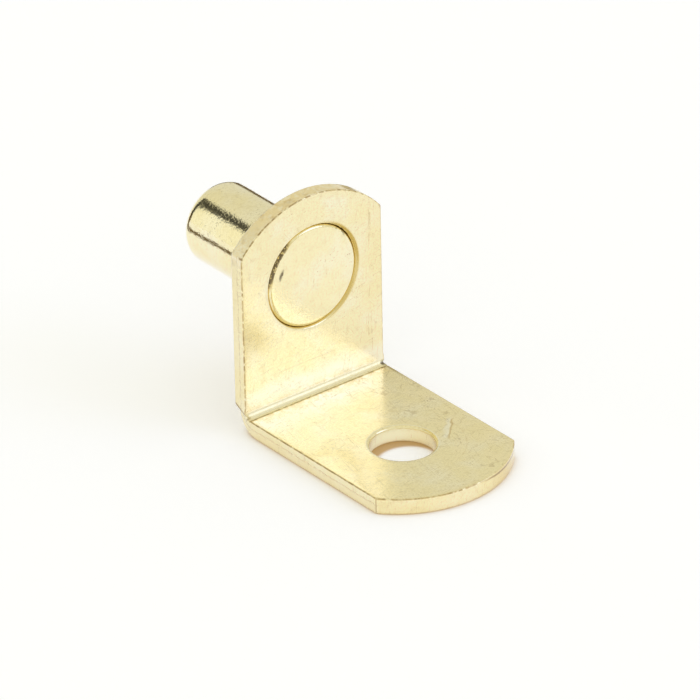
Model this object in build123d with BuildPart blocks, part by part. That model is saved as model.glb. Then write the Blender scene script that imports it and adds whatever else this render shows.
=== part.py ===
"""Angle shelf support: a bent brass strip with a headed pin held in its upright leg.

The pin goes into a drilled hole in a cabinet side and the shelf lies on the foot.
A screw goes up through the hole in the foot into the shelf.

Frame: millimetres. The origin is where the pin's axis leaves the back of the upright.
+Y runs along the pin, away from the shelf. +Z is up and X runs across the strip.
"""

import os
from math import atan2, cos, pi, radians, sin, sqrt, tan

from build123d import *

# ---- The strip ----
strip_width = 12.7
strip_thickness = 1.3
upright_height = 17.25  # from the foot's underside to the top of the round end
foot_reach = 17.75  # from the upright's front face to the foot's round tip
end_rise = 3.0  # how far each round end stands past its two corners
rolled_edge = 0.18  # rounding that the blanking die leaves on the outer face's edges

# ---- The bend between the upright and the foot ----
bend_inner_radius = 0.45
bend_outer_radius = 2.4
bulge = 0.22  # metal squeezed out sideways above the inner corner
bulge_run = 1.1  # height over which the squeezed metal fades into the straight side
crease_height = 2.1  # where the neck's crease meets the back face, above the underside
neck_slope = 14.0  # degrees that the sides sink in, from the inner to the outer bend

# ---- The pin and its head ----
pin_height = 10.7  # the pin's axis above the foot's underside
pin_diameter = 6.35
pin_length = 10.2  # from the back of the upright to the pin's end
pin_end_radius = 1.1
press_diameter = 6.8  # the slightly thicker stretch pressed into the upright
head_diameter = 7.92  # sunk flush with the upright's front face
head_thickness = 0.7
head_edge_radius = 0.25

# ---- The pin's seat in the upright ----
seat_clearance = 0.02  # on the radius, round the pressed stretch and the head
seat_mouth_radius = 0.2

# ---- The screw hole in the foot ----
screw_hole_diameter = 4.76
screw_hole_reach = 9.95  # from the upright's front face to the hole's axis
screw_hole_rim = 0.2

# ---- Places that follow from the sizes ----
front = -strip_thickness  # the upright's front face; its back face is at Y = 0
underside = -pin_height
foot_top = underside + strip_thickness
upright_top = underside + upright_height
foot_tip = front - foot_reach
half_width = strip_width / 2
seat_radius = head_diameter / 2 + seat_clearance
same_radius = 1e-4


def half_leg_outline(root, corner, tip):
    """Half of a leg seen square on: a straight side, a corner and half of the round end."""
    Polyline((0, root), (half_width, root), (half_width, corner))
    TangentArc((0, tip), (half_width, corner), tangent=(1, 0))


def round_edges(part, radius, plane):
    """The edges of one radius that lie flat to a plane: a hole's rims or a bend's sides."""
    arcs = part.edges().filter_by(GeomType.CIRCLE).filter_by(plane)
    return arcs.filter_by(lambda arc: abs(arc.radius - radius) < same_radius)


def neck_cutter():
    """A very flat cone for the +X side, its point on the inside of the bend.

    Bending stretches the outside of the strip, so its sides sink in there. The cone's
    crease runs straight from the inner corner to crease_height on the back face.
    """
    corner_depth = bend_inner_radius * (1 - 1 / sqrt(2))
    crease_rise = crease_height - strip_thickness - corner_depth
    crease_angle = pi / 4 + atan2(crease_rise, strip_thickness + corner_depth)
    slope = radians(neck_slope)
    tilt = atan2(cos(slope) - cos(crease_angle), sin(slope))
    flank = tilt + slope
    outward = cos(tilt) * sin(pi / 4)
    cone_axis = Vector(sin(tilt), outward, -outward)
    point = Vector(half_width, front - corner_depth, foot_top + corner_depth)
    cone_plane = Plane(origin=point, z_dir=cone_axis)
    reach = 2 * bend_outer_radius
    with BuildPart() as cutter:
        with BuildSketch(Plane(origin=point, x_dir=cone_plane.x_dir, z_dir=-cone_plane.y_dir)):
            with BuildLine():
                Polyline((0, 0), (reach, reach / tan(flank)), (reach, reach), (0, reach), close=True)
            make_face()
        revolve(axis=Axis(point, cone_axis))
    return cutter.part


neck = neck_cutter()

with BuildPart() as angle_plate:
    # The bent section, seen from the side.
    with BuildSketch(Plane.YZ) as section:
        with BuildLine():
            Polyline(
                (0, upright_top),
                (0, underside),
                (foot_tip, underside),
                (foot_tip, foot_top),
                (front, foot_top),
                (front, upright_top),
                close=True,
            )
        make_face()
        fillet(section.vertices().group_by(Axis.Y)[0].sort_by(Axis.X)[-1], bend_outer_radius)
        fillet(section.vertices().group_by(Axis.X)[-2].sort_by(Axis.Y)[0], bend_inner_radius)
    extrude(amount=half_width, both=True)

    # Each leg ends in a shallow arc that meets the straight sides at sharp corners.
    with BuildSketch(Plane.XZ):
        with BuildLine():
            half_leg_outline(underside, upright_top - end_rise, upright_top)
            mirror(about=Plane.YZ)
        make_face()
    extrude(amount=-foot_tip, both=True, mode=Mode.INTERSECT)
    with BuildSketch(Plane.XY):
        with BuildLine():
            half_leg_outline(0, foot_tip + end_rise, foot_tip)
            mirror(about=Plane.YZ)
        make_face()
    extrude(amount=upright_height, both=True, mode=Mode.INTERSECT)

    # The die rolls the outer face's edges over, all round and through the bend.
    back_face = angle_plate.faces().sort_by(Axis.Y)[-1]
    under_face = angle_plate.faces().sort_by(Axis.Z)[0]
    outer_edges = back_face.edges() + under_face.edges()
    outer_edges += round_edges(angle_plate, bend_outer_radius, Plane.YZ)
    fillet(outer_edges.filter_by(Axis.X, reverse=True), rolled_edge)

    # Metal squeezed out sideways above the inner corner, fading into the straight sides
    # and into the rolled edge behind.
    with BuildSketch(Plane.XZ.offset(rolled_edge)):
        with BuildLine():
            TangentArc(
                (half_width, foot_top + bulge_run),
                (half_width + bulge, foot_top),
                tangent=(0, -1),
            )
            Polyline(
                (half_width + bulge, foot_top),
                (half_width - rolled_edge, foot_top),
                (half_width - rolled_edge, foot_top + bulge_run),
                (half_width, foot_top + bulge_run),
            )
        make_face()
        mirror(about=Plane.YZ)
    extrude(amount=strip_thickness - rolled_edge)

    # The necked sides of the bend.
    add(neck, mode=Mode.SUBTRACT)
    add(mirror(neck, about=Plane.YZ, mode=Mode.PRIVATE), mode=Mode.SUBTRACT)

    # The pin's stepped seat, open to the front for the head.
    with Locations(Plane(origin=(0, front, 0), z_dir=(0, -1, 0))):
        CounterBoreHole(
            radius=press_diameter / 2 + seat_clearance,
            counter_bore_radius=seat_radius,
            counter_bore_depth=head_thickness,
        )
    seat_mouth = round_edges(angle_plate, seat_radius, Plane.XZ).sort_by(Axis.Y)[0]
    fillet(seat_mouth, seat_mouth_radius)

    # The screw hole, its rims eased.
    with Locations((0, front - screw_hole_reach, foot_top)):
        Hole(screw_hole_diameter / 2)
    rims = round_edges(angle_plate, screw_hole_diameter / 2, Plane.XY)
    fillet(rims, screw_hole_rim)
angle_plate.part.label = "angle_plate"

with BuildPart() as shelf_pin:
    # Half of the pin's outline, turned round its axis.
    with BuildSketch(Plane.XY) as pin_profile:
        with BuildLine():
            Polyline(
                (0, front),
                (head_diameter / 2, front),
                (head_diameter / 2, front + head_thickness),
                (press_diameter / 2, front + head_thickness),
                (press_diameter / 2, 0),
                (pin_diameter / 2, 0),
                (pin_diameter / 2, pin_length),
                (0, pin_length),
                close=True,
            )
        make_face()
        fillet(pin_profile.vertices().group_by(Axis.Y)[0].sort_by(Axis.X)[-1], head_edge_radius)
        fillet(pin_profile.vertices().group_by(Axis.Y)[-1].sort_by(Axis.X)[-1], pin_end_radius)
    revolve(axis=Axis.Y)
shelf_pin.part.label = "shelf_pin"

os.makedirs("parts", exist_ok=True)
export_step(angle_plate.part, "parts/angle_plate.step")
export_step(shelf_pin.part, "parts/shelf_pin.step")
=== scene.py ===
# %% [markdown]
# # A brass angle shelf support
#
# The object is a plug-in shelf support: a short strip of brass bent to an L, with a round pin
# pressed through its upright leg. The pin goes into a drilled hole in a cabinet's side, the
# shelf lies on the foot, and a screw goes up through the foot's hole into the shelf.
#
# Two pieces of metal make two meshes here. The measured parts of the frame give the places and
# the sizes. The meshes add the finer forms of the real thing: edges rolled over by the blanking
# die, metal squeezed out at the bend, the ring groove round the pin's head, nicks and scratches.
#
# Each code cell makes one thing and says what it made.

# %% The frame
import math

import bmesh
import bpy
from mathutils import Matrix, Vector


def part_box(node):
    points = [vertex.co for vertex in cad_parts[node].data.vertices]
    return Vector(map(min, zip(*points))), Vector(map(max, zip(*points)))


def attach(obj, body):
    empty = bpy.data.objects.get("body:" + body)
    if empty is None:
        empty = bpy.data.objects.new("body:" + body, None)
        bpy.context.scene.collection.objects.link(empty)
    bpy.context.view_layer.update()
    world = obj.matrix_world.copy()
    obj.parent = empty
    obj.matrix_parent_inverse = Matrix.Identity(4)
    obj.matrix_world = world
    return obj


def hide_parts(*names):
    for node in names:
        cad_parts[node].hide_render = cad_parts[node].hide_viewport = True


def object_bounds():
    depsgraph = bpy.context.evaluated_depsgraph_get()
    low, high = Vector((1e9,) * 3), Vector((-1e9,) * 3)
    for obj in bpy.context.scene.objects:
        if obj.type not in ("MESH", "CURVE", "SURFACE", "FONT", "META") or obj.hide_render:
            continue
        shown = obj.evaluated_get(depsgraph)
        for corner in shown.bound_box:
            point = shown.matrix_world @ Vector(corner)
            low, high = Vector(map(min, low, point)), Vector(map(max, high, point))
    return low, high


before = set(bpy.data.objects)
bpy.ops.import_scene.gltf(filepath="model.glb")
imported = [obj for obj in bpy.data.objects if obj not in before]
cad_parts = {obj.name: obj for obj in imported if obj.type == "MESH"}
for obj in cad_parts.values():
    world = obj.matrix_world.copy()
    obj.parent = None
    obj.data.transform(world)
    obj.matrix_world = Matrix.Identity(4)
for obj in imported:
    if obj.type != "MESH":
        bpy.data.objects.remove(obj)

MM = 0.001  # shapes are thought out in millimetres; Blender's scene is in metres
cad_low, cad_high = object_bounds()
print("the part's box, mm:", [round((b - a) / MM, 2) for a, b in zip(cad_low, cad_high)])

# %% [markdown]
# ## Camera
#
# A long lens from far away keeps the edges of the two legs nearly parallel, so that the part's
# proportions are easy to see. The camera is placed by how it looks at the part: the point it
# aims at, how far off it stands, how far round and how far above.

# %% Camera
CAMERA_AIM = Vector((3.23, -1.336, -7.217)) * MM
CAMERA_DISTANCE = 509.4 * MM
CAMERA_AZIMUTH = math.radians(-38.09)  # round the part, from straight in front of the upright
CAMERA_ELEVATION = math.radians(29.42)
CAMERA_ROLL = math.radians(-1.13)
CAMERA_LENS = 362.7  # focal length for Blender's 36 mm sensor

level = math.cos(CAMERA_ELEVATION)
towards_camera = Vector((
    math.sin(CAMERA_AZIMUTH) * level,
    -math.cos(CAMERA_AZIMUTH) * level,
    math.sin(CAMERA_ELEVATION),
))
camera = bpy.data.objects.new("camera", bpy.data.cameras.new("camera"))
bpy.context.scene.collection.objects.link(camera)
bpy.context.scene.camera = camera
camera.data.lens = CAMERA_LENS
camera.data.clip_end = 20
camera.matrix_world = (
    Matrix.Translation(CAMERA_AIM + towards_camera * CAMERA_DISTANCE)
    @ towards_camera.to_track_quat("Z", "Y").to_matrix().to_4x4()
    @ Matrix.Rotation(CAMERA_ROLL, 4, "Z")
)
print("camera at, mm:", [round(x / MM) for x in camera.matrix_world.translation])

# %% [markdown]
# ## Sizes
#
# The strip's box comes from the frame. Wall, radii and hole sizes can't be read from a box, so
# they are written here once, in millimetres.

# %% Sizes of the strip and the pin
plate_low, plate_high = (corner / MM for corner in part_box("angle_plate"))
pin_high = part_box("shelf_pin")[1] / MM

THICKNESS = 1.3
FRONT = -THICKNESS  # the upright's front face; its back face is at Y = 0
TOP = plate_high.z
UNDERSIDE = plate_low.z
FOOT_TOP = UNDERSIDE + THICKNESS
FOOT_TIP = plate_low.y
HALF_WIDTH = 6.35
END_RISE = 3.0  # how far each round end stands past its two corners
BEND_INNER = 0.45  # radius inside the bend
BEND_OUTER = 2.4  # radius outside the bend
ROLLED_EDGE = 0.18  # the outer face's edge, rolled over by the die
CRISP_EDGE = 0.08  # the inner face's edge, nearly sharp
PIN_RADIUS = 3.175
PIN_END = pin_high.y
HEAD_RADIUS = pin_high.x
HEAD_DEPTH = 0.7
PRESS_RADIUS = 3.4  # the stretch of the pin held in the upright
SEAT_GAP = 0.02
SCREW_RADIUS = 2.38
SCREW_REACH = 9.95  # from the upright's front face to the screw hole's axis
end_radius = (HALF_WIDTH**2 + END_RISE**2) / (2 * END_RISE)
print("round ends of radius, mm:", round(end_radius, 2))

# %% [markdown]
# ## The strip, blanked flat
#
# The real strip is blanked from flat sheet, drilled, then bent. The mesh is made in the same
# order. It starts as a flat grid whose rows run across the strip. X is the width, and Y is the
# length: the rows keep to even steps along the legs and come close together in the bend, where
# they have to follow a curve.
#
# A grid from `create_grid` has even cells, so its rows are then moved to where they are wanted.

# %% The flat grid
COLUMNS = 34
CELL = 2 * HALF_WIDTH / COLUMNS
PIN_WINDOW = 26  # cells across the square that is left open round the pin's seat
SCREW_WINDOW = 18
BEND_ROWS = 32
bend_straight = BEND_OUTER - THICKNESS - BEND_INNER  # flat on the inside, curved on the outside
bend_arc = math.pi / 2 * BEND_INNER
bend_half = bend_straight + bend_arc / 2


def flat_height(z):
    """Where a height on the upright lies on the flat strip."""
    return z - (UNDERSIDE + BEND_OUTER) + bend_half


def flat_reach(y):
    """Where a place along the foot lies on the flat strip."""
    return y + BEND_OUTER - bend_half


PIN_SPOT = flat_height(0)
SCREW_SPOT = flat_reach(FRONT - SCREW_REACH)
pin_window_half = PIN_WINDOW / 2 * CELL
screw_window_half = SCREW_WINDOW / 2 * CELL

stretches = [  # rows in each stretch of the strip, and the flat Y where it ends
    (12, SCREW_SPOT - screw_window_half),
    (SCREW_WINDOW, SCREW_SPOT + screw_window_half),
    (15, -bend_half),
    (BEND_ROWS, bend_half),
    (9, PIN_SPOT - pin_window_half),
    (PIN_WINDOW, PIN_SPOT + pin_window_half),
    (5, flat_height(TOP)),
]
row_places = [flat_reach(FOOT_TIP)]
for rows, end in stretches:
    start = row_places[-1]
    row_places += [start + (end - start) * (n + 1) / rows for n in range(rows)]
row_count = len(row_places) - 1

strip = bmesh.new()
bmesh.ops.create_grid(strip, x_segments=COLUMNS, y_segments=row_count, size=1)
for v in strip.verts:
    column = round((v.co.x + 1) / 2 * COLUMNS)
    row = round((v.co.y + 1) / 2 * row_count)
    v.co = (-HALF_WIDTH + column * CELL, row_places[row], 0)
print("flat grid:", len(strip.faces), "cells in", row_count, "rows")

# %% [markdown]
# A round hole in a grid of squares leaves ragged cells round it. So a square window is left
# open, its rim is extruded inwards, and the new points are set on a true circle. Every cell
# between the rim and the hole then has four corners, and cuts across them make even rings.
# In between, the strip's ends are rounded. The circles stay as they are.

# %% Windows, round ends and holes
SEAT_MOUTH = 0.36  # rounding of the mouth of the pin's seat, on the right
SEAT_LEAN = 0.6  # how much smaller it is on the left
SCREW_RIM = 0.22
seat_radius = HEAD_RADIUS + SEAT_GAP


def inside_window(point, spot, half):
    slack = half + CELL / 10
    return abs(point.x) < slack and abs(point.y - spot) < slack


def open_window(spot, half, radius):
    """Clears a square window and sets a circle in it. Gives its points and the spokes to them."""
    gone = [f for f in strip.faces if inside_window(f.calc_center_median(), spot, half)]
    bmesh.ops.delete(strip, geom=gone, context="FACES")
    rim = [
        e for e in strip.edges
        if e.is_boundary and all(inside_window(v.co, spot, half) for v in e.verts)
    ]
    inner = bmesh.ops.extrude_edge_only(strip, edges=rim)["geom"]
    circle = {g for g in inner if isinstance(g, bmesh.types.BMVert)}
    for v in circle:
        across, along = v.co.x / half, (v.co.y - spot) / half
        turn = math.pi / 4 * (along if abs(across) >= abs(along) else across)
        near, far = math.sin(turn), math.cos(turn)
        if abs(across) >= abs(along):
            place = (math.copysign(far, across), near)
        else:
            place = (near, math.copysign(far, along))
        v.co = (radius * place[0], spot + radius * place[1], 0)
    spokes = [e for v in circle for e in v.link_edges if e.other_vert(v) not in circle]
    return circle, spokes


pin_circle, pin_spokes = open_window(PIN_SPOT, pin_window_half, seat_radius + SEAT_MOUTH)
screw_circle, screw_spokes = open_window(SCREW_SPOT, screw_window_half, SCREW_RADIUS + SCREW_RIM)

for v in set(strip.verts) - pin_circle - screw_circle:
    drop = end_radius - math.sqrt(end_radius**2 - v.co.x**2)
    up = (v.co.y - PIN_SPOT) / (flat_height(TOP) - PIN_SPOT)
    out = (SCREW_SPOT - v.co.y) / (SCREW_SPOT - flat_reach(FOOT_TIP))
    v.co.y += drop * (max(out, 0) - max(up, 0))

bmesh.ops.subdivide_edges(strip, edges=pin_spokes, cuts=5, use_grid_fill=True)
bmesh.ops.subdivide_edges(strip, edges=screw_spokes, cuts=3, use_grid_fill=True)
print("blank with its two holes:", len(strip.faces), "cells")

# %% [markdown]
# The blank has no thickness yet. Extruding the whole sheet downwards gives it a wall.

# %% Thickness
fallen = bmesh.ops.extrude_face_region(strip, geom=strip.faces[:])
bmesh.ops.translate(
    strip,
    verts=[g for g in fallen["geom"] if isinstance(g, bmesh.types.BMVert)],
    vec=(0, 0, -THICKNESS),
)
bmesh.ops.recalc_face_normals(strip, faces=strip.faces[:])
print("solid blank:", len(strip.faces), "cells")

# %% [markdown]
# Each hole's wall is one tall band of cells. Cutting it into rings and moving each ring to its
# own radius and depth turns the hole on a lathe, so to speak. The pin's seat is stepped: a wide
# part for the head and a narrower one for the shank. The screw hole only has eased rims.

# %% The two holes turned to shape
SHOULDER_EASE = 0.02


def rounding(radius, depth, size, turn, steps=4):
    """Radius and depth along a rounded rim: turn 1 goes into the hole, -1 comes out of it."""
    arc = []
    for n in range(steps + 1):
        angle = math.pi / 2 * n / steps
        into, down = size * (1 - math.sin(angle)), size * (1 - math.cos(angle))
        arc.append((radius + into, depth + turn * down))
    return arc[::turn]


def turn_hole(spot, start_radius, profile, lean=0):
    """Shapes one hole's wall: profile is the radius and depth of each ring, front to back.

    With lean, the rounding of the mouth is that share smaller on the left than on the right.
    """
    def off_axis(point):
        return math.hypot(point.x, point.y - spot)

    wall = [
        e for e in strip.edges
        if abs(e.verts[0].co.z - e.verts[1].co.z) > THICKNESS / 2
        and off_axis(e.verts[0].co) < start_radius + CELL / 10
    ]
    bmesh.ops.subdivide_edges(strip, edges=wall, cuts=len(profile) - 2, use_grid_fill=True)
    for v in strip.verts:
        if off_axis(v.co) < start_radius + CELL / 10:
            ring = round(-v.co.z / THICKNESS * (len(profile) - 1))
            radius, depth = profile[ring]
            if radius > seat_radius:
                share = 1 - lean * (1 - v.co.x / off_axis(v.co)) / 2
                radius, depth = seat_radius + (radius - seat_radius) * share, depth * share
            grow = radius / off_axis(v.co)
            v.co = (v.co.x * grow, spot + (v.co.y - spot) * grow, -depth)


shank_seat = PRESS_RADIUS + SEAT_GAP
turn_hole(PIN_SPOT, seat_radius + SEAT_MOUTH, [
    *rounding(seat_radius, 0, SEAT_MOUTH, turn=1),
    (seat_radius, HEAD_DEPTH - SHOULDER_EASE),
    (seat_radius - SHOULDER_EASE, HEAD_DEPTH),
    (shank_seat, HEAD_DEPTH),
    *rounding(shank_seat, THICKNESS, SHOULDER_EASE, turn=-1, steps=1),
], lean=SEAT_LEAN)
turn_hole(SCREW_SPOT, SCREW_RADIUS + SCREW_RIM, [
    *rounding(SCREW_RADIUS, 0, SCREW_RIM, turn=1),
    *rounding(SCREW_RADIUS, THICKNESS, SCREW_RIM, turn=-1),
])
print("holes turned:", len(strip.faces), "cells")

# %% [markdown]
# The blanking die leaves two kinds of edge. Where the punch went in, the sheet's edge is drawn
# over into a soft roll. Where it came out, the edge stays crisp. The rolled side ends up outside
# the bend. `bmesh.ops.bevel` makes both, with more segments for the larger one.

# %% Rolled and crisp edges
WALL_CUTS = 7


def bevel_edges(edges, size, steps):
    bmesh.ops.bevel(
        strip, geom=edges, offset=size, segments=steps, affect="EDGES", profile=0.5, material=-1
    )
    strip.normal_update()


def on_outline(edge):
    """True for an edge of the blank's outer outline, not of a hole."""
    middle = (edge.verts[0].co + edge.verts[1].co) / 2
    from_pin = math.hypot(middle.x, middle.y - PIN_SPOT)
    from_screw = math.hypot(middle.x, middle.y - SCREW_SPOT)
    return from_pin > seat_radius + 1 and from_screw > SCREW_RADIUS + 1


def rim_edges(depth):
    return [
        e for e in strip.edges
        if all(abs(v.co.z + depth) < 1e-6 for v in e.verts)
        and any(abs(f.normal.z) < 0.5 for f in e.link_faces)
        and on_outline(e)
    ]


strip.normal_update()
corners = [
    e for e in strip.edges
    if abs(e.verts[0].co.z - e.verts[1].co.z) > THICKNESS / 2
    and on_outline(e)
    and e.calc_face_angle() > math.radians(20)
]
bevel_edges(corners, CRISP_EDGE, 2)
bevel_edges(rim_edges(0), CRISP_EDGE, 3)
bevel_edges(rim_edges(THICKNESS), ROLLED_EDGE, 6)
side_walls = [
    e for e in strip.edges
    if abs(e.verts[0].co.z - e.verts[1].co.z) > THICKNESS / 2 and on_outline(e)
]
bmesh.ops.subdivide_edges(strip, edges=side_walls, cuts=WALL_CUTS, use_grid_fill=True)
print("edges rolled:", len(corners), "corners,", len(strip.faces), "cells")

# %% [markdown]
# ## Marks that follow the metal
#
# Before the blank is bent, every point writes down its place on the flat strip in an attribute
# called `flat`, in millimetres. The material reads it later, so that scratches and tool marks
# lie along the strip and run through the bend. Five more attributes are plain numbers. One is 1
# on the cut walls. The others are distances: from the outline, from the edge of the screw hole,
# from the pin's seat, and from the crease, which is filled in when the strip is bent.

# %% Attributes on the flat blank
ON_THE_CUT = 0.02  # a point this close to the outline or to the hole's radius is on its wall

flat_layer = strip.verts.layers.float_vector.new("flat")
wall_layer, edge_layer, hole_layer, seat_layer, crease_layer = (
    strip.verts.layers.float.new(name)
    for name in ("wall", "edge", "hole", "seat", "below_crease")
)


def from_outline(x, y):
    """How far inside the outline of the flat strip a place is."""
    top, tip = flat_height(TOP), flat_reach(FOOT_TIP)
    into_end = max(y - (top - end_radius), (tip + end_radius) - y, 0)
    return min(HALF_WIDTH - abs(x), end_radius - math.hypot(x, into_end))


for v in strip.verts:
    v[flat_layer] = v.co
    v[edge_layer] = from_outline(v.co.x, v.co.y)
    v[hole_layer] = math.hypot(v.co.x, v.co.y - SCREW_SPOT) - SCREW_RADIUS
    v[seat_layer] = math.hypot(v.co.x, v.co.y - PIN_SPOT) - seat_radius
    at_cut = min(v[edge_layer], abs(v[hole_layer])) < ON_THE_CUT
    below_rim = -v.co.z > CRISP_EDGE * 0.9
    v[wall_layer] = 1.0 if at_cut and below_rim else 0.0
print("points on cut walls:", sum(v[wall_layer] > 0 for v in strip.verts))

# %% [markdown]
# ## Bending the strip
#
# Now the flat mesh is bent, point by point. Each row keeps its place along the inner face; in
# the bend a row points from the small inner arc to the large outer one. Working on the finished
# blank means that holes, rolled edges and corners go through the bend with it.
#
# Metal can't stay even in such a tight bend. Inside, it is squeezed and swells out at both
# sides, until the forming tool stops it. Outside, it is stretched and the sides sink in. The
# two meet in a sharp crease under the swelling, and from there the hollow fades out along the
# foot. The punch's nose leaves a fine line in the corner, which ends in a small nick at both
# sides. The sizes of all this come first.

# %% Sizes of the bend
BULGE = 0.22
BULGE_RUN = 1.1
NECK_SLOPE = 0.27  # how fast the sides sink in, away from the inner corner
SWELL_SLOPE = 1.1  # how fast they rise from the crease into the bulge
BULGE_END = 0.07  # where the bulge meets the forming tool and stops
NECK_EDGE = math.radians(16)  # how soon the hollow is deep, below the crease
CREASE_HEIGHT = 2.1  # where the crease meets the back face, above the underside
SIDE_FADE = 1.2  # how far in from the sides the metal moves
PUNCH_LINE = 0.06  # depth of the line, and next how far it reaches to each side
PUNCH_LINE_REACH = 0.1
NICK = 0.14
NICK_REACH = 0.22
SKEW = 0.0055  # the foot leaves the bend a shade askew

rise = BEND_INNER * (1 - math.sqrt(0.5))
inner_corner = Vector((FRONT - rise, FOOT_TOP + rise))
crease_angle = math.pi / 4 + math.atan2(
    UNDERSIDE + CREASE_HEIGHT - inner_corner.y, -inner_corner.x
)
print("the crease lies at, degrees:", round(math.degrees(crease_angle)))

# %% [markdown]
# `bent` keeps the legs flat and gives every place in between a point on the inner arc and one
# on the outer arc. Its depth in the sheet says how far it lies from the one to the other.

# %% Where a point of the flat strip goes
def smooth(share):
    share = min(max(share, 0), 1)
    return share * share * (3 - 2 * share)


def bent(point):
    """Where a point of the flat blank goes when the strip is bent to an L."""
    depth = -point.z
    if point.y >= bend_half:
        return Vector((point.x, FRONT + depth, point.y - flat_height(0)))
    if point.y <= -bend_half:
        return Vector((point.x, point.y - flat_reach(0), FOOT_TOP - depth))
    along = bend_half - point.y
    turn = min(max((along - bend_straight) / bend_arc, 0), 1) * math.pi / 2
    on_foot = max(along - bend_straight - bend_arc, 0)
    on_upright = max(bend_straight - along, 0)
    inner = Vector((
        FRONT - BEND_INNER * (1 - math.cos(turn)) - on_foot,
        FOOT_TOP + BEND_INNER * (1 - math.sin(turn)) + on_upright,
    ))
    fan = along / (2 * bend_half) * math.pi / 2
    outer = Vector((
        -BEND_OUTER * (1 - math.cos(fan)),
        UNDERSIDE + BEND_OUTER * (1 - math.sin(fan)),
    ))
    place = inner.lerp(outer, depth / THICKNESS)
    return Vector((point.x, place.x, place.y))


print("the inner corner goes to, mm:", [round(x, 2) for x in bent(Vector((0, 0, 0)))])

# %% [markdown]
# The sides move as the metal does: out above the crease and in below it. Both movements grow
# with the distance from the inner corner, and they meet at the crease with a sharp edge.

# %% How the sides move
def from_crease(point):
    """How far below the crease a place is, along an arc about the inner corner."""
    off = Vector((point.y, point.z)) - inner_corner
    turned = math.atan2(off.x + off.y, off.x - off.y)  # 0 straight out of the corner
    return off.length * (crease_angle - turned)


def side_shift(point):
    """How far the sides stand out (+) or in (-) at a place of the bent strip."""
    off = Vector((point.y, point.z)) - inner_corner
    below = from_crease(point) / max(off.length, 1e-6)
    turned = crease_angle - below
    if below < 0 or turned < -3 * math.pi / 4:
        if point.y < inner_corner.x or turned < 0:
            return 0
        swell = BULGE * min(max((FOOT_TOP + BULGE_RUN - point.z) / BULGE_RUN, 0), 1) ** 2
        return min(swell, -off.length * SWELL_SLOPE * below, BULGE_END)
    hollow = smooth(below / NECK_EDGE) * (1 - smooth(below / (crease_angle + math.pi / 2)))
    return -off.length * NECK_SLOPE * hollow


print("the sides stop at, mm:", HALF_WIDTH + BULGE_END)

# %% [markdown]
# Every point is now bent and then pushed in or out, the more the nearer it is to a side. The
# punch's line and the nicks go in at the same time, and the foot turns a shade askew.

# %% The strip bent
for v in strip.verts:
    flat_place = v.co.copy()
    from_line = abs(flat_place.y + bend_arc / 2)
    if -flat_place.z < CRISP_EDGE:
        flat_place.z -= PUNCH_LINE * max(1 - from_line / PUNCH_LINE_REACH, 0)
    v.co = bent(flat_place)
    v[crease_layer] = from_crease(v.co)
    near_side = smooth(1 - (HALF_WIDTH - abs(flat_place.x)) / SIDE_FADE)
    v.co.x += math.copysign(near_side, flat_place.x) * side_shift(v.co)
    off = math.hypot(v.co.y - inner_corner.x, v.co.z - inner_corner.y)
    nick = NICK * near_side * max(1 - off / NICK_REACH, 0)
    v.co.x -= math.copysign(nick, flat_place.x)
    v.co.x -= SKEW * min(v.co.y + BEND_OUTER, 0)
print("strip bent:", len(strip.verts), "points moved")

# %% [markdown]
# ## The pin
#
# The real pin is turned from round bar on a lathe. The mesh is made the same way: half of its
# outline is drawn as a chain of edges, then `bmesh.ops.spin` turns it round the axis. A full
# turn joins its first and last copy when `use_merge` is on, and `remove_doubles` closes the two
# ends, where many points meet on the axis.

# %% The pin turned on its axis
HEAD_EDGE = 0.3  # the head's rounded edge
PIN_ROUND = 1.1
PIN_STEPS = 144


def half_outline():
    """Distance from the axis and place along it, from the head's middle to the pin's end."""
    outline = [(HEAD_RADIUS * share, FRONT) for share in (0, 0.2, 0.4, 0.6, 0.75, 0.86)]
    outline += [
        (HEAD_RADIUS - HEAD_EDGE * (1 - math.sin(a)), FRONT + HEAD_EDGE * (1 - math.cos(a)))
        for a in (math.pi / 2 * n / 6 for n in range(7))
    ]
    outline += [(HEAD_RADIUS, FRONT + HEAD_DEPTH), (PRESS_RADIUS, FRONT + HEAD_DEPTH)]
    outline += [(PRESS_RADIUS, 0), (PIN_RADIUS, 0)]
    outline += [(PIN_RADIUS, (PIN_END - PIN_ROUND) * n / 12) for n in range(1, 13)]
    outline += [
        (PIN_RADIUS - PIN_ROUND * (1 - math.cos(a)), PIN_END - PIN_ROUND * (1 - math.sin(a)))
        for a in (math.pi / 2 * n / 10 for n in range(1, 11))
    ]
    flat_end = PIN_RADIUS - PIN_ROUND
    return outline + [(flat_end * share, PIN_END) for share in (0.6, 0.2, 0)]


pin = bmesh.new()
chain = [pin.verts.new((radius, along, 0)) for radius, along in half_outline()]
edges = [pin.edges.new(pair) for pair in zip(chain, chain[1:])]
bmesh.ops.spin(
    pin, geom=chain + edges, axis=(0, 1, 0), cent=(0, 0, 0),
    angle=2 * math.pi, steps=PIN_STEPS, use_merge=True,
)
bmesh.ops.remove_doubles(pin, verts=pin.verts[:], dist=1e-5)
bmesh.ops.recalc_face_normals(pin, faces=pin.faces[:])
print("pin turned:", len(pin.faces), "cells")

# %% [markdown]
# ## From mesh code to objects
#
# A piece's mesh is scaled to metres and handed to an object that stays at the origin. Faces
# are smooth, and edges that turn sharply are marked, so that flat faces shade flat. A Weighted
# Normal modifier lets large faces win over the small ones of the bevels.

# %% Objects
SHARP = math.radians(50)


def add_object(name, mesh_code):
    """Turns mesh code into an object of the scene."""
    made = bpy.data.objects.new(name, bpy.data.meshes.new(name))
    mesh_code.to_mesh(made.data)
    mesh_code.free()
    bpy.context.scene.collection.objects.link(made)
    return made


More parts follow.
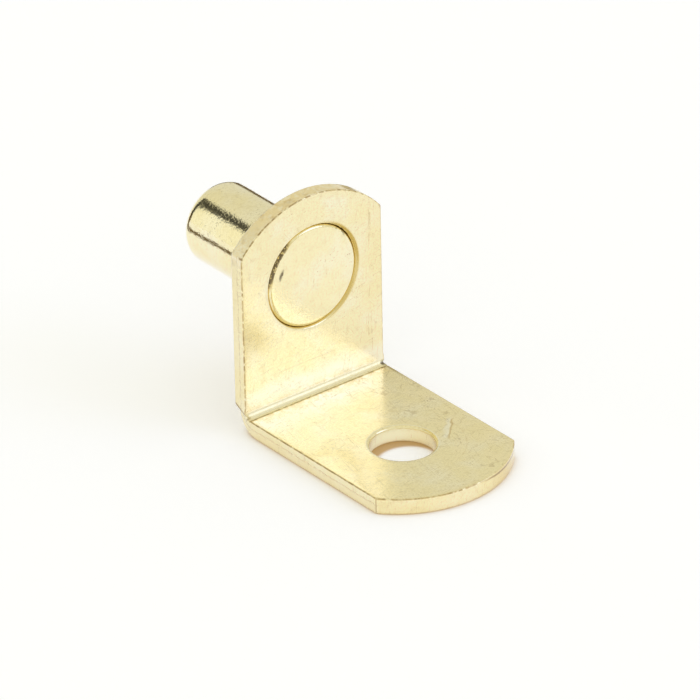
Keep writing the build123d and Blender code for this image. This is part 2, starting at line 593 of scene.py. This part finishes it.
def make_piece(name, mesh_code, node):
    """Scales mesh code to metres, marks its sharp edges and hands it to the frame."""
    bmesh.ops.scale(mesh_code, verts=mesh_code.verts[:], vec=(MM, MM, MM))
    for face in mesh_code.faces:
        face.smooth = True
    for edge in mesh_code.edges:
        edge.smooth = not edge.is_manifold or edge.calc_face_angle() < SHARP
    piece = add_object(name, mesh_code)
    weighted = piece.modifiers.new("flat faces stay flat", "WEIGHTED_NORMAL")
    weighted.keep_sharp = True
    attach(piece, "root")
    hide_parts(node)
    print(name, "has", len(piece.data.polygons), "faces")
    return piece


bent_strip = make_piece("bent_strip", strip, "angle_plate")
headed_pin = make_piece("headed_pin", pin, "shelf_pin")

# %% [markdown]
# ## Shader maths
#
# A material is a tree of nodes, and long trees are hard to read as code. The small class below
# wraps one output socket. Adding, multiplying or subtracting two wrapped sockets adds the Math
# node that does it, so a mask can be written as a Python expression. Any other node comes from
# `node`, which is given its type, its settings and what is plugged into its sockets.

# %% A wrapped socket
class Wire:
    """An output socket of a node, for writing shader maths as Python."""

    def __init__(self, tree, socket=None):
        self.tree, self.socket = tree, socket

    def node(self, kind, settings=None, out=0, **plugs):
        """Adds a node. A plug's name is the socket's name in lower case, or in_0, in_1 and on."""
        made = self.tree.nodes.new("ShaderNode" + kind)
        made.location = (220 * len(self.tree.nodes), 0)
        for name, value in (settings or {}).items():
            setattr(made, name, value)
        for name, value in plugs.items():
            if name.startswith("in_"):
                socket = made.inputs[int(name[3:])]
            else:
                socket = next(
                    s for s in made.inputs
                    if s.enabled and s.name.lower().replace(" ", "_") == name
                )
            if isinstance(value, Wire):
                self.tree.links.new(value.socket, socket)
            else:
                socket.default_value = value
        return Wire(self.tree, made.outputs[out] if made.outputs else None)

    def maths(self, operation, first, second):
        return self.node("Math", {"operation": operation}, in_0=first, in_1=second)

    def __add__(self, other):
        return self.maths("ADD", self, other)

    __radd__ = __add__

    def __mul__(self, other):
        return self.maths("MULTIPLY", self, other)

    __rmul__ = __mul__

    def __sub__(self, other):
        return self.maths("SUBTRACT", self, other)

    def __rsub__(self, other):
        return self.maths("SUBTRACT", other, self)

    def __pow__(self, other):
        return self.maths("POWER", self, other)

    def absolute(self):
        return self.node("Math", {"operation": "ABSOLUTE"}, in_0=self)

    def least(self, other):
        return self.maths("MINIMUM", self, other)

    def most(self, *others):
        """The largest of several masks: each shows where it is the strongest."""
        result = self
        for other in others:
            result = self.maths("MAXIMUM", result, other)
        return result

    def step(self, low, high):
        """0 below low, 1 above high and a soft rise between. Falls if low is the larger."""
        return self.node(
            "MapRange", {"interpolation_type": "SMOOTHSTEP"},
            value=self, from_min=low, from_max=high,
        )

    def near(self, place, reach):
        """1 at a place and 0 further than reach from it."""
        return (self - place).absolute().step(reach, 0)

    def xyz(self):
        """The three parts of a vector."""
        return tuple(self.node("SeparateXYZ", in_0=self, out=i) for i in range(3))


print("shader maths: a wrapped socket adds its own nodes")

# %% [markdown]
# A Math node would turn a colour grey, so colours are mixed by a Mix node. Two more helpers
# start a material or world from an empty tree, and read Object coordinates in millimetres, so
# that a pattern's size can be given in the same units as the shapes.

# %% Colours, trees and places
def colour_mix(share, first, second):
    first, second = (c if isinstance(c, Wire) else (*c, 1) for c in (first, second))
    return share.node(
        "Mix", {"data_type": "RGBA"}, out=2, in_0=share, in_6=first, in_7=second
    )


def new_tree(owner):
    """Empties the node tree of a material or world and gives a wire to build it from."""
    owner.use_nodes = True
    owner.node_tree.nodes.clear()
    return Wire(owner.node_tree)


def in_millimetres(start):
    """Object coordinates in millimetres."""
    coordinates = start.node("TexCoord", out=3)
    return start.node("Mapping", in_0=coordinates, in_3=(1 / MM, 1 / MM, 1 / MM))


print("colours are mixed by share, patterns sized in millimetres")

# %% [markdown]
# ## The studio
#
# Polished metal has little colour of its own: it shows what stands round it. A product studio
# puts pale walls and large soft panels round the part, and the dark gaps between them draw the
# lines that make metal look like metal. The world below is such a room, written as a function
# of the direction a ray goes: a pale wall that is a little duller behind the part, a panel in
# a dark frame at the back on the left, and a cool window at the front on the right.
#
# Heights in it are sines of the angle above the horizon. Compass angles are radians from
# straight behind the part, and below 0 on the left.

# %% World
WINDOW_TOWARDS = Vector((0.537, -0.686, 0.491))  # front right, 29 degrees up
BACK_RIGHT = Vector((0.537, 0.686, 0.491))
WALL_COLOUR, WALL_LEVEL = (1, 0.98, 0.815, 1), 0.84
DULL_BACK = 0.07  # how much duller the wall is at the back on the right
PANEL_COLOUR, PANEL_LEVEL = (0.95, 1, 1, 1), 0.16
WINDOW_COLOUR, WINDOW_LEVEL = (0.41, 0.515, 1, 1), 1.45
FRAME_DARKNESS = 0.94

world = bpy.data.worlds.new("studio")
bpy.context.scene.world = world
start = new_tree(world)
dx, dy, dz = start.node("TexCoord", out=0).xyz()
compass = start.node("Math", {"operation": "ARCTAN2"}, in_0=dx, in_1=dy)


def facing(towards):
    return dx * towards.x + dy * towards.y + dz * towards.z


back_left = dy.step(0.30, 0.45) * (1 - compass.step(-0.25, -0.20))
panel = back_left * (1 - dz.step(0.54, 0.57))
top_frame = back_left * dz.step(0.565, 0.585) * (1 - dz.step(0.672, 0.692))
side_frame = (
    compass.step(-0.58, -0.54) * (1 - compass.step(-0.26, -0.22)) * (1 - dz.step(0.56, 0.60))
)
unframed = 1 - top_frame.most(side_frame) * FRAME_DARKNESS
opening = facing(WINDOW_TOWARDS).step(0.93, 0.985) * (1 - dz.step(0.62, 0.85))

walls = start.node(
    "Background", color=WALL_COLOUR,
    strength=(WALL_LEVEL - facing(BACK_RIGHT).step(0.55, 0.98) * DULL_BACK) * unframed,
)
panels = start.node("Background", color=PANEL_COLOUR, strength=panel * PANEL_LEVEL * unframed)
window = start.node("Background", color=WINDOW_COLOUR, strength=opening * WINDOW_LEVEL)
room = start.node("AddShader", in_0=start.node("AddShader", in_0=walls, in_1=panels), in_1=window)
start.node("OutputWorld", in_0=room)
print("world of", len(world.node_tree.nodes), "nodes")

# %% [markdown]
# Black flags finish the frame where it would reach below the horizon. A flag is a strip of black
# card held just above the floor, where only the metal sees it. They give the round pin its
# second dark line, its dark rim and a dark upper edge.

# %% Black flags
black_card = bpy.data.materials.new("black card")
start = new_tree(black_card)
start.node("OutputMaterial", in_0=start.node(
    "BsdfPrincipled", base_color=(0.135, 0.082, 0.018, 1),
    roughness=start.node("TexNoise", scale=40.0).step(0.2, 0.8) * 0.3 + 0.6,
))


def stand_flag(name, distance, bottom, top, first, last):
    """A curved card round the pin, from one compass angle to another (degrees from +X)."""
    mesh_code = bmesh.new()
    out = Matrix.Rotation(math.radians(first), 3, "Z") @ Vector((distance, 0, 0))
    centre = Vector((0, PIN_END / 2, UNDERSIDE))
    ends = [mesh_code.verts.new(centre + out + Vector((0, 0, z))) for z in (bottom, top)]
    bmesh.ops.spin(
        mesh_code, geom=[*ends, mesh_code.edges.new(ends)], cent=centre, axis=(0, 0, 1),
        angle=math.radians(last - first), steps=48, use_duplicate=False,
    )
    bmesh.ops.scale(mesh_code, vec=(MM, MM, MM), verts=mesh_code.verts)
    flag = add_object(name, mesh_code)
    flag.data.materials.append(black_card)
    flag.visible_camera = flag.visible_diffuse = flag.visible_shadow = False


stand_flag("low_flag", 30, 3.0, 6.5, 103, 170)
stand_flag("side_flag", 29, 3.0, 14.0, 103, 121)
stand_flag("back_flag", 28, 8.0, 14.0, 25, 70)
print("flags stand round the pin")

# %% [markdown]
# ## The floor
#
# The part stands on a sheet of white paper. A white floor under soft light renders as pale
# grey, so the paper gets a little light of its own. Only the camera and mirror-like or clear
# things see that light, which is why it goes through a Light Path node: the shadow of the part
# stays, and no light is added to the metal.
#
# Where the metal stands on the paper it gets a warm edge, because light that comes out of the
# gap has met brass before. An Ambient Occlusion node finds that edge. Inside the screw hole
# the same warm shade is deeper and lies on the far side, under the wall that keeps the light
# off. It is drawn as a lit disc set a little to the front of the hole, and is much weaker in
# what the hole's wall reflects, so that the wall stays bright.

# %% Floor
PAPER = (0.92, 0.93, 1.0)
WARM_EDGE = (0.74, 0.63, 0.50)
HOLE_SHADE = (0.44, 0.27, 0.09)
EDGE_REACH = 0.9  # of the warm edge, from the metal
GLOW, SHADE_GLOW = 0.266, 0.12
LIT_SHIFT = 0.85  # how far the lit disc is in front of the hole's axis

floor_mesh = bmesh.new()
bmesh.ops.create_grid(floor_mesh, x_segments=1, y_segments=1, size=3)
bmesh.ops.translate(floor_mesh, verts=floor_mesh.verts[:], vec=(0, 0, cad_low.z))
floor = add_object("floor", floor_mesh)

paper = bpy.data.materials.new("floor paper")
start = new_tree(paper)
camera_ray = start.node("LightPath")
glossy_ray, clear_ray = (
    Wire(paper.node_tree, camera_ray.socket.node.outputs[name])
    for name in ("Is Glossy Ray", "Is Transmission Ray")
)
contact = start.node("AmbientOcclusion", {"samples": 8}, out=1, distance=EDGE_REACH * MM)
hole_x, hole_y = in_millimetres(start).xyz()[:2]
hole_y = hole_y - (FRONT - SCREW_REACH)
lit_y = hole_y + LIT_SHIFT
under_hole = (hole_x**2 + hole_y**2).step((SCREW_RADIUS + 0.62)**2, (SCREW_RADIUS + 0.32)**2)
unlit = (hole_x**2 + lit_y**2).step((SCREW_RADIUS - 0.23)**2, (SCREW_RADIUS + 0.27)**2)
shade = under_hole * unlit * (0.05 + camera_ray * 0.95)
tone = colour_mix(contact.step(0.25, 0.80), WARM_EDGE, PAPER)
tone = colour_mix(shade * 0.92, tone, HOLE_SHADE)
lift = (camera_ray + glossy_ray + clear_ray).least(1) * (GLOW + shade * SHADE_GLOW)
start.node("OutputMaterial", in_0=start.node(
    "AddShader",
    in_0=start.node("BsdfDiffuse", color=tone),
    in_1=start.node("Emission", color=tone, strength=lift),
))
floor.data.materials.append(paper)
bpy.context.scene.view_settings.view_transform = "Standard"
print("floor at, mm:", round(cad_low.z / MM, 2))

# %% [markdown]
# ## Brass
#
# Bright brass is a yellow metal with a clear lacquer over it. In the Principled shader that is
# Metallic 1 with the brass colour, and a thin Coat on top. What makes it look real is what has
# happened to it: the faint orange peel of the plating, scratches, specks of tarnish, a dark
# line along each crisp rim, and the torn band on every cut wall. Some highlights and shades are
# painted into the colour as well.
#
# A metal's colour tints what the metal reflects, and never adds to it, so these colours are
# light ones.

# %% Colours of the brass
BRASS = (0.95, 0.85, 0.515)
# PALE is also the colour of the painted highlights
PALE = (0.98, 0.945, 0.78)  # where a tool or a hand burnished it
# GOLDEN is also laid on zones that are only more golden, such as the pin's low side
GOLDEN = (0.90, 0.70, 0.28)  # where the lacquer is thick or stained
DUSKY = (0.66, 0.53, 0.26)  # dull spots
TARNISH_AND_SHADE = (0.30, 0.175, 0.05)
FOLD = (0.95, 0.84, 0.46)  # pressed by the punch's nose
BLUSH = (0.97, 0.85, 0.53)  # the torn part of a cut wall, a little redder
SANDY = (0.85, 0.66, 0.40)  # the wall of the round top, which stays matt
# BROWN is also the painted shade beside the scar
BROWN = (0.58, 0.40, 0.14)  # dirt under the lacquer
GROOVE = (0.72, 0.53, 0.15)  # the ring round the pin's head
NEAR_BLACK = (0.08, 0.05, 0.012)
print("the metal's own colour:", BRASS)

# %% [markdown]
# Noise makes nearly every mark. Left as it is, it gives soft clouds. Stretched one way and cut
# off high it gives scratches, and fine noise cut off high gives specks. Sizes are millimetres,
# and `noise`, `scratches` and `specks` give masks from 0 to 1.

# %% Patterns of worn metal
def noise(place, size, detail=2.0):
    """Soft lumps of about the given size."""
    return place.node("TexNoise", vector=place, scale=1 / size, detail=detail)


def stretched(place, scale, turn=0.0):
    """A place turned about Z and then stretched, for patterns with a direction."""
    turned = place.node("Mapping", in_0=place, in_2=(0, 0, math.radians(turn)))
    return place.node("Mapping", in_0=turned, in_3=scale)


def scratches(place, turn, length, width, share):
    """Thin straight scratches that lie one way. A larger share gives fewer."""
    lines = noise(stretched(place, (1 / width, 1 / length, 1), turn), 1, 1.0)
    return lines.step(share, share + 0.04)


def specks(place, size, share):
    """Small spots in loose clusters. A larger share gives fewer."""
    crowd = noise(place, 2.5, 1.0)
    return (noise(place, size, 1.0) + crowd * 0.5).step(share, share + 0.08)


def paint(colour, coats):
    """Lays coats over a colour, one after another. A coat is its share and its colour."""
    for share, over in coats:
        colour = colour_mix(share, colour, over)
    return colour


def finish_material(start, colour, roughness, height):
    """Closes a brass material. Height is the relief in millimetres."""
    bump = start.node("Bump", height=height, strength=1.0, distance=MM)
    shader = start.node(
        "BsdfPrincipled", base_color=colour, metallic=1.0, roughness=roughness,
        coat_weight=1.0, coat_roughness=0.10, normal=bump,
    )
    start.node("OutputMaterial", in_0=shader)


print("patterns: noise, scratches and specks")

# %% [markdown]
# ## Brass of the strip
#
# The strip's material reads the attributes that were written on the flat blank. `across` and
# `along` are places on the flat strip, and `depth` is how far below the inner face a point
# lies. From them come the zones: the face, the foot, the straight walls, the wall of the round
# top and the wall of the screw hole. Every mark is then kept to the zones where it belongs.

# %% Zones of the strip
strip_brass = bpy.data.materials.new("strip brass")
start = new_tree(strip_brass)
place = start.node("Attribute", {"attribute_name": "flat"}, out=1)
wall, edge, hole, seat, crease = (
    start.node("Attribute", {"attribute_name": name}, out=2)
    for name in ("wall", "edge", "hole", "seat", "below_crease")
)
across, along, depth = place.xyz()
depth = depth * -1
from_side = HALF_WIDTH - across.absolute()
from_right = HALF_WIDTH - across

TIP_CORNERS = flat_reach(FOOT_TIP + END_RISE)
TOP_CORNERS = flat_height(TOP - END_RISE)
face = depth.step(0.10, 0.03)
on_foot = along.step(0.5, -1.0)
foot_right = on_foot * across.step(0.5, 2.5) * face
straight = wall * from_side.step(0.13, 0.05)
round_top = wall * along.step(TOP_CORNERS - 1.05, TOP_CORNERS - 0.05)
foot_end = wall * along.step(TIP_CORNERS + 0.4, TIP_CORNERS + 0.1)
in_hole = wall * hole.step(0.15, 0.05) * on_foot
print("zones from", len(strip_brass.node_tree.nodes), "nodes")

# %% [markdown]
# The same noises are used again and again: fine grain for the orange peel, blotches for stains,
# clouds for the slow change of shade, and a broken pattern that makes lines come and go.
# Handling leaves scratches that cross. Spots of tarnish gather where fingers touched, mostly on
# the right of the foot.

# %% Grain, scratches and spots of the strip
grain = noise(place, 0.16)
blotch = noise(place, 0.55, 3.0)
broken = noise(place, 0.45, 3.0)
clouds = noise(place, 2.6, 3.0)
ripple = noise(place, 1.5, 1.0)
lines = scratches(place, 12, 3.0, 0.09, 0.69).most(
    scratches(place, 78, 2.2, 0.08, 0.70), scratches(place, -38, 2.6, 0.08, 0.71)
)
dots = specks(place, 0.17, 0.96) * (0.4 + on_foot * across.step(-2, 3) * 0.6) * face
meander = noise(place, 1.7, 1.0).near(0.5, 0.018) * broken.step(0.42, 0.58) * foot_right
flush = noise(place, 1.5).step(0.48, 0.66) * foot_right
print("grain, scratches and spots:", len(strip_brass.node_tree.nodes), "nodes so far")

# %% [markdown]
# A wall cut by a punch has two bands: a smooth one where the metal rolled over the tool, and a
# torn one where it broke, with a ragged border between them. At the right end of the foot the
# shear pulled the face down over the wall, as far as a dark line. The wall of the round top was
# dressed afterwards, and is dappled and matt.

# %% Cut walls
PULL = 0.24  # how far down the face was pulled at most
torn = noise(stretched(place, (2.5, 2.5, 0.6)), 1, 3.0)
streaks = noise(stretched(place, (9, 9, 0.7)), 1)
border = depth - torn * 0.3
tear = border.near(0.42, 0.09) * straight
rolled = border.step(0.42, 0.50) * straight

pulled = depth - across.step(-1.0, 4.0) * PULL - torn * 0.08
pulled_line = pulled.near(0, 0.13) * foot_end * across.step(0.5, 3.0)
pulled_face = pulled.step(0.04, -0.06) * foot_end * across.step(0.5, 2.0)

dapples = round_top * noise(place, 0.33, 3.0).step(0.46, 0.62)
# a painted highlight on the low left of the round top's wall
top_wall_highlight = round_top * across.step(-3.4, -5.8)
hole_left = in_hole * across.step(-0.8, -2.3)
print("cut walls:", len(strip_brass.node_tree.nodes), "nodes so far")

# %% [markdown]
# Dark lines run along the rims and at the corners of the blank, and the crease under the bend is
# painted dark as its shade. The rim has no such line on the right of the foot's round end. A
# light ring round the screw hole is a painted highlight, and a screw's head left a faint arc
# further out.

# %% Rims, corners and the hole's mouth
HEAD_MARK = 2.2  # distance from the hole's edge to the arc that the screw's head left
rim_line_gap = on_foot * across.step(-1.0, 2.0) * from_right.step(0.45, 1.15) * 0.8
rim_line = (
    edge.step(0.11, 0.02) * depth.step(0.12, 0.05) * broken.step(0.38, 0.54) * (1 - rim_line_gap)
)
right_rim = edge.step(0.16, 0.02) * from_right.step(0.45, 0.25) * depth.step(0.3, 0.1)
top_left_rim = (
    rim_line * along.step(TOP_CORNERS - 0.05, TOP_CORNERS + 0.95) * across.step(0, -3)
)
corner_spot = (
    from_side.near(0.05, 0.14) * along.near(TOP_CORNERS, 0.16)
    * depth.step(0.5, 0.2) * noise(place, 0.2).step(0.35, 0.5)
)
corner_line = wall * from_side.near(0.02, 0.05) * along.near(TIP_CORNERS, 0.08)
# painted shade: a dark line along the crease on the side walls
crease_shade = crease.near(-0.10, 0.15) * wall * from_side.step(0.15, 0.05)
hole_line = hole.step(0.10, 0.0) * face * broken.step(0.45, 0.60)
# a painted highlight: a light ring round the screw hole, where its rim rolls over
hole_rim_highlight = hole.near(0.24, 0.11) * face
head_mark = hole.near(HEAD_MARK, 0.09) * foot_right * blotch.step(0.35, 0.55)
groove = (
    seat.step(0.13, 0.04).most(seat.step(0.36, 0.20) * across.step(0.5, 3.0))
    * seat.step(-0.3, -0.1) * depth.step(0.5, 0.3)
)
print("rims and corners:", len(strip_brass.node_tree.nodes), "nodes so far")

# %% [markdown]
# The bend has marks of its own. The punch's nose left a line on the foot's side of the corner,
# with a blotched golden band beside it, and above it the bend and the low upright are painted
# paler as a highlight. At both ends of the line the metal split to a small nick, and both nicks
# are painted dark as their shade, nearly black on the right.

# %% Marks of the bend
PUNCH_PLACE = -bend_arc / 2 - 0.02
punch_line = along.near(PUNCH_PLACE, 0.07) * face * broken.step(0.37, 0.52)
beside_line = along.near(PUNCH_PLACE - 0.14, 0.24) * face * blotch.step(0.44, 0.60)
fold = along.near(0.06, 0.26) * face
golden = along.step(-1.9, -0.5) * along.step(-0.33, -0.40) * face
# a painted highlight: the bend and the low part of the upright are paler
bend_highlight = along.step(-0.30, -0.1) * along.step(2.4, 0.9) * face
nick_depth = depth.step(0.5, 0.2)
# painted shade in the nicks at both ends of the punch's line, nearly black on the right
nick = from_side.step(0.25, 0.15) * along.near(-0.1, 0.13) * nick_depth * 0.55
right_nick_shade = from_right.step(0.41, 0.27) * along.near(-0.05, 0.36) * nick_depth
print("the bend:", len(strip_brass.node_tree.nodes), "nodes so far")

# %% [markdown]
# A few marks are there once only: a raised scar on the foot, where a chip was pressed in, with a
# painted highlight on its ridge and painted shade beside it, a faint line across the low part of
# the upright, long scratches down its right side, a painted highlight on the left of the foot
# near the bend and a stain along the edges.

# %% Single marks
SCAR_ACROSS, SCAR_ALONG = 3.8, flat_reach(-11.7)
SCAR_HALF_LENGTH = 1.8
FAINT_LINE = flat_height(-6.7)
SIDE_SCRATCHES = 5.2
DIAGONAL = 0.7

scar_x, scar_y = across - SCAR_ACROSS, along - SCAR_ALONG
wobble = noise(place, 0.9, 1.0) * 0.8 - 0.4
scar_length = ((scar_x + scar_y) * DIAGONAL).near(0, SCAR_HALF_LENGTH).step(0, 0.3) * face
off_scar = (scar_y - scar_x) * DIAGONAL + wobble
# the ridge is raised in the relief and painted paler as its highlight; painted shade lies beside
# it
ridge = off_scar.near(0.06, 0.32) * scar_length
scar_shade = off_scar.near(-0.20, 0.15) * scar_length

faint_line = (
    along.near(FAINT_LINE, 0.06) * across.step(-4.5, -3) * across.step(2.5, 1)
    * face * blotch.step(0.28, 0.45)
)
side_scratches = (
    noise(stretched(place, (1 / 0.07, 1 / 5, 1)), 1, 1.0).step(0.60, 0.66)
    * across.near(SIDE_SCRATCHES, 0.95) * (1 - on_foot) * broken.step(0.40, 0.60)
)
# a painted highlight on the left of the foot, near the bend
foot_left_highlight = along.step(-7.5, -5.5) * along.step(-1.9, -2.6) * across.step(1.0, -1.5) * face
edge_stain = edge.step(0.9, 0.05) * face * clouds.step(0.45, 0.62)
print("single marks:", len(strip_brass.node_tree.nodes), "nodes so far")

# %% [markdown]
# Now the coats go on in the order in which a real surface gets them: the metal's own shade,
# what tools did to it, stains, and dirt last. A list of shares and colours is easy to read and
# to change. Each share is a mask times how strongly it shows.

# %% Colour of the strip
other_walls = wall * on_foot * (1 - straight) * (1 - in_hole)
right_walls = wall * on_foot
clean = 1 - bend_highlight * 0.6 - in_hole * 0.8 - straight * 0.75
brown_marks = (dots * 0.55).most(
    hole_line * 0.6, faint_line * 0.20, side_scratches * 0.75, scar_shade * 0.75,
    rim_line * 0.85, right_rim * 0.5, head_mark * 0.22, beside_line * 0.42,
    tear * broken.step(0.38, 0.55) * 0.34, pulled_line, corner_line * 0.6,
    round_top * blotch.step(0.52, 0.70) * 0.30,
)
# among the dark marks is painted shade: the crease and the nicks
dark_marks = (lines * (0.10 + on_foot * 0.06)).most(
    rim_line * blotch.step(0.45, 0.6) * 0.5, punch_line, top_left_rim * 0.7,
    corner_line * 0.5, corner_spot * 0.9, pulled_line * 0.9, meander * 0.30,
    faint_line * 0.04, crease_shade * 0.9, nick,
)
strip_colour = paint(colour_mix(clouds.step(0.40, 0.70) * 0.45, BRASS, PALE), [
    # painted highlights: bend and low upright, foot's left near the bend, screw hole's wall
    ((bend_highlight * 0.9).most(in_hole * 0.35, foot_left_highlight * 0.12), PALE),
    ((golden * blotch.step(0.32, 0.56) * 0.75).most(
        edge_stain * 0.30, straight * 0.10,
        across.step(2.5, 6.0) * face * (0.20 - on_foot * 0.08)), GOLDEN),
    (groove * 0.85, GROOVE),
    ((grain.step(0.40, 0.72) * 0.26 + blotch.step(0.50, 0.75) * 0.26) * clean, DUSKY),
    ((other_walls * 0.24).most(right_walls * across.step(1, 4) * 0.85, hole_left * 0.30), GOLDEN),
    (right_walls * across.step(1, 4.5) * 0.35, DUSKY),
    (pulled_face * 0.25, DUSKY),
    (flush * 0.45, BLUSH),
    # painted highlights: on the scar's ridge and as a ring round the screw hole
    ((ridge * 0.7).most(hole_rim_highlight * 0.45), PALE),
    ((0.4 + border.step(0.3, 0.7) * 0.6) * straight
     * (0.2 + on_foot * blotch.step(0.35, 0.6) * 0.4), BLUSH),
    (round_top * 0.36, SANDY),
    (round_top * 0.20, GOLDEN),
    # pale specks on the round top's wall, and a painted highlight on its low left
    ((dapples * 0.40).most(top_wall_highlight * (0.35 + grain.step(0.45, 0.6) * 0.4)), PALE),
    (brown_marks, BROWN),
    (fold * 0.85, FOLD),
    (dark_marks, TARNISH_AND_SHADE),
    # painted shade: the right nick, nearly black
    (right_nick_shade * 0.9, NEAR_BLACK),
])
print("colour of the strip:", len(strip_brass.node_tree.nodes), "nodes so far")

# %% [markdown]
# Roughness and relief come from the same masks, so that what looks dull also feels dull. The
# relief is given in millimetres: an orange peel of a few thousandths, scratches as deep, and
# the scar's ridge of two hundredths. The dressed wall of the round top leans a little to the
# front, which a relief that grows with the depth gives without moving its points.

# %% Roughness and relief of the strip
TOP_LEAN = 0.36
roughness = (
    0.20 + clouds * 0.08 + round_top * 0.24 + rolled * 0.08 + rim_line * 0.2 + fold * 0.15
)
height = (
    grain * 0.003 + ripple * 0.010 - lines * 0.004 - dots * 0.008
    + grain * wall * 0.012 + streaks * straight * 0.03 - tear * 0.02
    + blotch * round_top * 0.02 + noise(place, 0.12) * round_top * 0.012
    + depth * round_top * TOP_LEAN
    - punch_line * 0.02 + faint_line * 0.004 + ridge * 0.022
)
finish_material(start, strip_colour, roughness, height)
bent_strip.data.materials.append(strip_brass)
print(strip_brass.name, "has", len(strip_brass.node_tree.nodes), "nodes")

# %% [markdown]
# ## Brass of the pin
#
# The pin is turned and polished, so it is smoother than the strip and its marks are fewer.
# Nothing on it is bent, so it can use Object coordinates. When the pin was pressed in, the tool
# bit the rim of its head in two places, and left a small dent beside the first. The ring groove
# is darker under that bite.

# %% Marks of the pin
FIRST_BITE, SECOND_BITE = (-0.85, 0.53), (0.74, 0.67)  # directions from the head's middle
DENT_X, DENT_Z = -2.80, 1.05
DENT_LEAN = 0.30
HEAD_RIM = 3.60, 3.72  # where the rim's rounding starts

pin_brass = bpy.data.materials.new("pin brass")
start = new_tree(pin_brass)
place = in_millimetres(start)
px, py, pz = place.xyz()
from_axis = (px**2 + pz**2) ** 0.5
grain = noise(place, 0.19)
blotch = noise(place, 0.55, 3.0)
clouds = noise(place, 2.6, 3.0)
lines = scratches(place, 20, 2.0, 0.08, 0.70).most(scratches(place, -50, 2.0, 0.08, 0.71))
dots = specks(place, 0.18, 1.0)

on_head = py.step(-0.7, -1.1)
ring = from_axis.step(*HEAD_RIM) * on_head
to_first, to_second = (px * x + pz * z for x, z in (FIRST_BITE, SECOND_BITE))
bite = ring * to_first.step(3.35, 3.65) * noise(place, 0.15, 3.0).step(0.36, 0.50)
second_bite = ring * to_second.step(3.6, 3.85) * noise(place, 0.3).step(0.48, 0.55)
dent_x, dent_z = px - DENT_X, pz - DENT_Z
ragged = noise(place, 0.45) * 0.10 + noise(place, 0.14) * 0.12
off_dent = (dent_x - dent_z * DENT_LEAN) ** 2 * 2.2 + dent_z**2 * 0.35 + ragged
dent = off_dent.step(0.22, 0.10) * on_head
print("marks of the pin:", len(pin_brass.node_tree.nodes), "nodes so far")

# %% [markdown]
# The low side of the pin is a little more golden than the top. Bites and the dent are nearly
# black, and what is dirty is also rougher.

# %% Colour and relief of the pin
dirt = (dots * 0.25).most(lines * 0.10)
bitten = (bite * 0.9).most(second_bite * 0.6, dent * 0.9)
pin_colour = paint(colour_mix(clouds.step(0.40, 0.70) * 0.40, BRASS, PALE), [
    (pz.step(0.4, -2.2) * (1 - on_head) * 0.30, GOLDEN),
    (grain.step(0.40, 0.72) * 0.18 + blotch.step(0.50, 0.75) * 0.15, DUSKY),
    (dirt, TARNISH_AND_SHADE),
    (ring * to_first.step(3.2, 3.5) * 0.7, GROOVE),
    (bitten, NEAR_BLACK),
])
roughness = 0.085 + clouds * 0.04 + dirt.most(bitten) * 0.15
height = (
    grain * 0.010 + noise(place, 0.09) * 0.0016 + clouds * 0.01
    - dots * 0.008 - lines * 0.003 - dent * 0.006 - bite * 0.01
)
finish_material(start, pin_colour, roughness, height)
headed_pin.data.materials.append(pin_brass)
print(pin_brass.name, "has", len(pin_brass.node_tree.nodes), "nodes")
